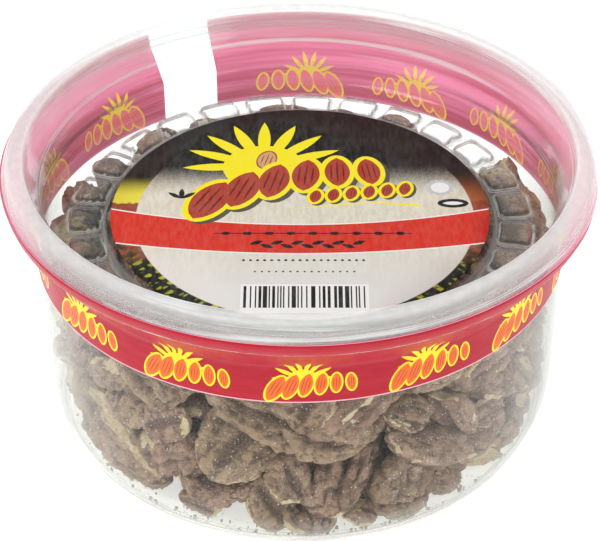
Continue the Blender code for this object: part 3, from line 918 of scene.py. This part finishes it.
def kernel_pose(node):
    """Size (length, width, depth) and frame of a CAD kernel: X runs pole to pole, Z out of its back."""
    points = np.array([vert.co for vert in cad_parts[node].data.vertices])
    points = np.unique(np.round(points, 7), axis=0)
    middle = points.mean(axis=0)
    rest = points - middle
    axes = np.linalg.eigh(rest.T @ rest).eigenvectors
    x_axis, z_axis = axes[:, 2], axes[:, 0]
    pole = rest[(rest @ x_axis).argmax()]
    if (rest @ z_axis).max() + (rest @ z_axis).min() < 2 * (pole @ z_axis):
        z_axis = -z_axis
    y_axis = np.cross(z_axis, x_axis)
    size = [float(np.ptp(rest @ axis)) for axis in (x_axis, y_axis, z_axis)]
    turn = Matrix([x_axis, y_axis, z_axis]).transposed().to_4x4()
    return size, Matrix.Translation(middle + z_axis * (pole @ z_axis)) @ turn


FINE, COARSE = (88, 104), (44, 52)  # rings and spokes of a kernel's lattice
FINE_SKIP, COARSE_SKIP = 37, 9  # one point in so many is enough to measure the gaps
SLIMMER = 0.985  # keeps the twisted kernel inside the CAD one's width and depth


def kernel_faces(grid):
    """Quads of a lattice of rings between two poles."""
    rings, spokes = grid
    last_ring, pole = (rings - 1) * spokes, rings * spokes
    caps = [[pole, k, (k + 1) % spokes] for k in range(spokes)]
    caps += [[pole + 1, last_ring + (k + 1) % spokes, last_ring + k] for k in range(spokes)]
    return ring_faces(rings, spokes) + caps


def kernel_shape(size, seed, is_piece, grid=FINE):
    """Points of a pecan half with its grooves, lobes, wrinkles and broken places, and its skin's marks:
    painted hollow shade, broken places and tone.
    """
    length, width, depth = size
    rng = np.random.default_rng(seed)
    along = -np.cos(np.linspace(0.02, pi - 0.02, grid[0]))
    around = np.linspace(0, tau, grid[1], endpoint=False)
    along, around = [g.ravel() for g in np.meshgrid(along, around, indexing="ij")]
    along = np.append(along, [-1.0, 1.0])
    around = np.append(around, [0.0, 0.0])
    swell = np.sqrt(np.maximum(1 - abs(along) ** 2.5, 0))
    rise, side = np.sin(around), np.cos(around)
    on_back = rise >= 0
    body = np.stack([along * 1.8, side * swell, rise * 0.6 * swell], axis=1)
    own = body + rng.uniform(0, 40, 3)
    wander = 0.08 * noise_at(along * 1.7, seed, 0.0, seed)
    wander += 0.03 * noise_at(along * 6.0, side * 2, seed, seed)
    ends = ramp(1 - abs(along), 0.03, 0.35)

    def furrow(middle, sharp):
        return np.exp(-(abs((side - middle - wander) / sharp) ** 1.3))

    deep = rng.uniform(0.36, 0.5)
    patchy = ramp(smooth_noise(own * 1.4, seed + 2), -0.4, 0.4)
    back = deep * (furrow(-0.36, 0.085) + furrow(0.36, 0.085)) + 0.12 * furrow(0.0, 0.05)
    back += 0.26 * patchy * (furrow(-0.68, 0.07) + furrow(0.68, 0.07))
    face = 0.85 * furrow(0.0, 0.2) + 0.4 * patchy * (furrow(-0.55, 0.1) + furrow(0.55, 0.1))
    edge = ramp(abs(rise), 0.02, 0.3)
    groove = np.minimum(np.where(on_back, back, face) * ends * edge, 0.85)
    lump = ramp(-fractal(own * (2.2, 1.6, 1.6), seed, 2), -0.2, 0.9)
    crease = ramp(1 - abs(fractal(own * (1.8, 3.6, 3.6), seed + 5, 3)), 0.70, 1.0)
    pits = ramp(fractal(own * (6.0, 5.0, 5.0), seed + 8, 2), 0.25, 0.9)
    notch = 1 - abs(noise_at(along * 5.0 + seed, np.sign(side) * 3.0, 0.0, seed + 3))
    notch = ramp(notch, 0.66, 1.0) * ridge(rise, 0.0, 0.5) * ends
    back_height = 0.72 * (1 - groove) * abs(rise) ** (2 / 2.7)
    face_height = -0.28 * (1 - groove) * abs(rise) ** (2 / 3.3)
    height = np.where(on_back, back_height, face_height) * swell * depth
    height = height * (1 - 0.20 * lump - 0.12 * crease - 0.06 * pits)
    slim = 1 - 0.06 * lump - 0.05 * crease - 0.12 * notch - 0.02 * pits
    taper = 1 - rng.uniform(0.04, 0.16) * (1 + along * rng.choice([-1, 1])) / 2
    wide = side * swell * width / 2 * slim * taper
    points = np.stack([along * length / 2 * (1 - 0.03 * crease), wide, height], axis=1)
    points[:, 2] += depth * rng.uniform(-0.10, 0.02) * along**2
    lean = rng.uniform(-0.14, 0.14) * along
    y, z, c, s = points[:, 1], points[:, 2], np.cos(lean), np.sin(lean)
    points[:, 1:] = np.stack([y * c - z * s, y * s + z * c], axis=1) * SLIMMER

    broken = np.zeros(len(points))
    cuts = []
    if is_piece:
        way = np.array([rng.choice([-1.0, 1.0]), rng.uniform(-0.4, 0.4), rng.uniform(-0.5, 0.5)])
        cuts.append((way, 0.62))
    for _ in range(rng.integers(1, 4)):
        way = [rng.uniform(-1, 1), rng.choice([-1, 1]) * rng.uniform(0.3, 1), rng.uniform(-0.6, 0.8)]
        cuts.append((np.array(way), rng.uniform(0.76, 0.92)))
    scale = np.array([length / 2, width / 2, depth / 2])
    for way, keep in cuts:
        way = way / np.linalg.norm(way)
        reach = points / scale @ way
        limit = keep * reach.max() + 0.07 * fractal(own * 3.0, seed + 11, 3)
        past = np.maximum(reach - limit, 0)
        points -= past[:, None] * way * scale
        broken = np.maximum(broken, ramp(past, 0.0, 0.06))
    rim = ridge(rise, 0.0, 0.28) * ramp(smooth_noise(own * 2.4, seed + 17), 0.0, 0.4) * 0.85
    broken = np.maximum(broken, rim)
    # painted shade: how hollow each point is, so the skin can darken it
    hollow_shade = groove * 1.5 + 0.5 * crease + 0.6 * notch + 0.4 * pits + 0.35 * lump
    hollow_shade = np.clip(hollow_shade, 0, 1) * (1 - broken)
    shade = np.full(len(points), rng.uniform(0, 1))
    return points, np.stack([hollow_shade, broken, shade], axis=1)


def make_kernels(skin):
    """The CAD's kernels, each reshaped in its place. Gives their sizes, frames and some of their points."""
    faces = kernel_faces(FINE)
    names = sorted(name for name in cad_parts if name.startswith("pecan_"))
    packed = []
    for number, name in enumerate(names):
        size, pose = kernel_pose(name)
        points, marks = kernel_shape(size, 10 + number, "piece" in name)
        made = mesh_object(name.replace("pecan", "kernel"), points, faces, [skin])
        paint(made.data, "marks", marks)
        paint(made.data, "local", points)
        made.data.transform(pose)
        place(made, "kernel", name)
        pose = np.array(pose)
        packed.append((size, pose, points[::FINE_SKIP] @ pose[:3, :3].T + pose[:3, 3]))
    return packed


def inside_radius(height):
    """Radius left inside the tub's wall for what lies in it."""
    heights = np.array([0.7, 3.0, 4.6, 9.0]) * MM
    insets = np.array([6.4, 3.9, 2.9, 1.1]) * MM
    return np.interp(height, [*heights, WALL_TOP], [*(WALL_LOW_RADIUS - insets), WALL_TOP_RADIUS - 1.1 * MM])


def settle(points):
    """Moves a bit back inside the wall, above the floor and below the lid's ring."""
    floor, ceiling = TUB_SHEET + 0.15 * MM, RING_FLOOR - LID_SHEET - 0.2 * MM
    for _ in range(4):
        out = np.hypot(points[:, 0], points[:, 1])
        past = out - inside_radius(points[:, 2])
        worst = past.argmax()
        if past[worst] > 0:
            points = points - np.array([*points[worst, :2] / out[worst], 0.0]) * past[worst]
        points[:, 2] += max(floor - points[:, 2].min(), 0.0)
        points[:, 2] -= max(points[:, 2].max() - ceiling, 0.0)
    return points


def gaps(spots, points):
    """Distance from each spot to the nearest of the points."""
    return np.sqrt(((spots[:, None] - points[None]) ** 2).sum(axis=2)).min(axis=1)


def make_fill(skin, packed):
    """Smaller kernels and broken bits in the gaps that the kernels leave along the wall."""
    rng = np.random.default_rng(SEED + 3)
    spots = []
    for (row, height), inset, k in product(enumerate(FILL_ROWS), FILL_INSETS, range(FILL_STEPS)):
        turn = tau * (k + 0.5 * (row % 2)) / FILL_STEPS
        out = float(inside_radius(height)) - inset
        in_front = sin(turn) < 0.35
        if height < TOP_ROW or in_front:
            spots.append((out * cos(turn), out * sin(turn), height))
    spots = np.array(spots)
    room = np.full(len(spots), FILL_LARGEST)
    for size, pose, points in packed:
        local = (spots - pose[:3, 3]) @ pose[:3, :3] / (size[0] / 2, size[1] / 2, size[2] * 0.55)
        room[(local**2).sum(axis=1) < 1] = 0.0
        room = np.minimum(room, gaps(spots, points))
    bits = []
    while len(bits) < FILL_MOST and room.max() > FILL_LEAST:
        best = room.argmax()
        free = room[best]
        size = np.array([rng.uniform(1.7, 2.3), rng.uniform(1.3, 1.7), rng.uniform(0.85, 1.15)])
        size = np.minimum(size * free * BIT_GROWTH, BIT_LIMITS)
        is_piece = rng.random() < 0.4
        points, marks = kernel_shape(size, 200 + len(bits), is_piece, COARSE)
        turn = np.arctan2(spots[best, 1], spots[best, 0])
        tilt = Matrix.Rotation(rng.uniform(-1.5, 1.5), 3, "Z") @ Matrix.Rotation(rng.normal(0, 0.6), 3, "X")
        face = Matrix.Rotation(pi / 2 + pi * (rng.random() < 0.35), 3, "X")
        pose = np.array(Matrix.Rotation(turn + pi / 2, 3, "Z") @ face @ tilt)
        local = points
        points = settle(points @ pose.T + spots[best])
        bits.append((points, marks, local))
        room = np.minimum(room, gaps(spots, points[::COARSE_SKIP]))
        room[gaps(spots, points.mean(axis=0)[None]) < free] = 0.0
    for number in range(0, len(bits), BITS_IN_PIECE):
        group = bits[number : number + BITS_IN_PIECE]
        count = len(group[0][0])
        faces = [[v + count * k for v in face] for k in range(len(group)) for face in kernel_faces(COARSE)]
        name = f"kernel_bits_{number // BITS_IN_PIECE + 1}"
        points, marks, local = (np.concatenate(layer) for layer in zip(*group))
        made = mesh_object(name, points, faces, [skin])
        paint(made.data, "marks", marks)
        paint(made.data, "local", local)
        place(made, "kernel")


# Crumbs and salt on the floor of the tub


def scatter(name, skin, count, sizes, seed):
    """Boxes with their corners pushed about, lying on the floor, mostly along the foot of the wall."""
    box_corners = np.array(list(product((-1, 1), repeat=3)), float)
    box_faces = [(0, 1, 3, 2), (4, 6, 7, 5), (0, 4, 5, 1), (2, 3, 7, 6), (0, 2, 6, 4), (1, 5, 7, 3)]
    rng = np.random.default_rng(seed)
    points, faces = [], []
    for _ in range(count):
        size = rng.uniform(*sizes) * MM * rng.uniform(0.6, 1.0, 3)
        out = (WALL_LOW_RADIUS - 4.4 * MM) * (1 - abs(rng.normal(0, 0.06)))
        turn = rng.uniform(0, tau)
        floor = TUB_SHEET + max(0.0, out - WALL_LOW_RADIUS + 6.0 * MM) * 0.9
        middle = np.array([out * cos(turn), out * sin(turn), floor + size[2] * 0.8])
        faces += [[v + len(points) for v in face] for face in box_faces]
        points += (box_corners * size * rng.uniform(0.35, 1.0, (8, 3)) + middle).tolist()
    made = mesh_object(name, points, faces, [skin])
    bevel = made.modifiers.new("soft_edges", "BEVEL")
    bevel.width = 0.08 * sizes[0] * MM
    bevel.segments = 2
    place(made, "kernel")


# Surroundings


def make_floor():
    side = 6.0
    reach = [-side, -1.0, 1.0, side]
    points = [(x, y, 0.0) for y in reach for x in reach]
    floor = mesh_object("floor", points, grid_faces(3, 3), [floor_skin()])
    floor.location.z = -0.05 * MM


def make_world():
    """A white room with a darker belt half way up its walls and a bright ceiling."""
    world = bpy.data.worlds.new("studio")
    bpy.context.scene.world = world
    world.use_nodes = True
    tree = world.node_tree
    way = tree.nodes.new("ShaderNodeTexCoord").outputs["Generated"]
    axes = tree.nodes.new("ShaderNodeSeparateXYZ")
    tree.links.new(way, axes.inputs[0])
    belt = tree.nodes.new("ShaderNodeValToRGB")
    stops = belt.color_ramp
    stops.interpolation = "EASE"
    lights = [(0.22, 1.0), (0.36, 0.30), (0.74, 0.30), (1.0, 1.0)]
    for rise, _ in lights[1:-1]:
        stops.elements.new(rise)
    for element, (rise, light) in zip(stops.elements, lights):
        element.position = rise
        element.color = (light, light, light, 1.0)
    tree.links.new(axes.outputs[2], belt.inputs[0])
    tree.links.new(belt.outputs[0], tree.nodes["Background"].inputs["Color"])
    tree.nodes["Background"].inputs["Strength"].default_value = 1.0


def lamp(name, spot, size, power):
    """A square light turned to the middle of the tub."""
    light = bpy.data.lights.new(name, "AREA")
    light.size = size
    light.energy = power
    made = bpy.data.objects.new(name, light)
    made.location = spot
    made.rotation_euler = (Vector((0, 0, 0.03)) - Vector(spot)).to_track_quat("-Z", "Y").to_euler()
    bpy.context.scene.collection.objects.link(made)


def make_camera():
    aim_height = 31.8 * MM
    view = bpy.data.cameras.new("camera")
    view.lens = 138.0
    view.sensor_width = 36.0
    view.clip_start = 0.01
    camera = bpy.data.objects.new("camera", view)
    elevation = radians(36.25)
    distance = 478.4 * MM
    camera.location = (0.0, -distance * cos(elevation), aim_height + distance * sin(elevation))
    camera.rotation_euler = (pi / 2 - elevation, 0.0, 0.0)
    bpy.context.scene.collection.objects.link(camera)
    bpy.context.scene.camera = camera


def main():
    tub_colours = (0.975, 0.983, 0.978), (0.83, 0.86, 0.84), (0.5, 0.51, 0.5)
    make_tub(clear_plastic("clear_tub_plastic", *tub_colours, 0.006))
    lid_colours = (0.98, 0.98, 0.98), (0.91, 0.89, 0.90), (0.54, 0.60, 0.585)
    make_lid(clear_plastic("clear_lid_plastic", *lid_colours, 0.015))
    # the back film gets painted light: a 0.6 wash towards bright pink and a 0.35 glow
    make_wrap(film_skin("film_front", 0.0, 0.0), film_skin("film_back", 0.6, 0.35))
    make_lid_label(label_skin())
    kernel_skin = pecan_skin()
    make_fill(kernel_skin, make_kernels(kernel_skin))
    scatter("nut_crumbs", crumb_skin(), 260, (0.15, 0.6), SEED + 1)
    scatter("salt_grains", salt_skin(), 420, (0.1, 0.24), SEED + 2)
    make_floor()
    make_world()
    lamp("key", (-0.5, -0.35, 0.8), 0.5, 5.0)
    lamp("fill", (0.6, -0.5, 0.6), 0.6, 2.0)
    make_camera()
    bpy.context.scene.cycles.transparent_max_bounces = 32
    bpy.context.scene.view_settings.view_transform = "Standard"


main()
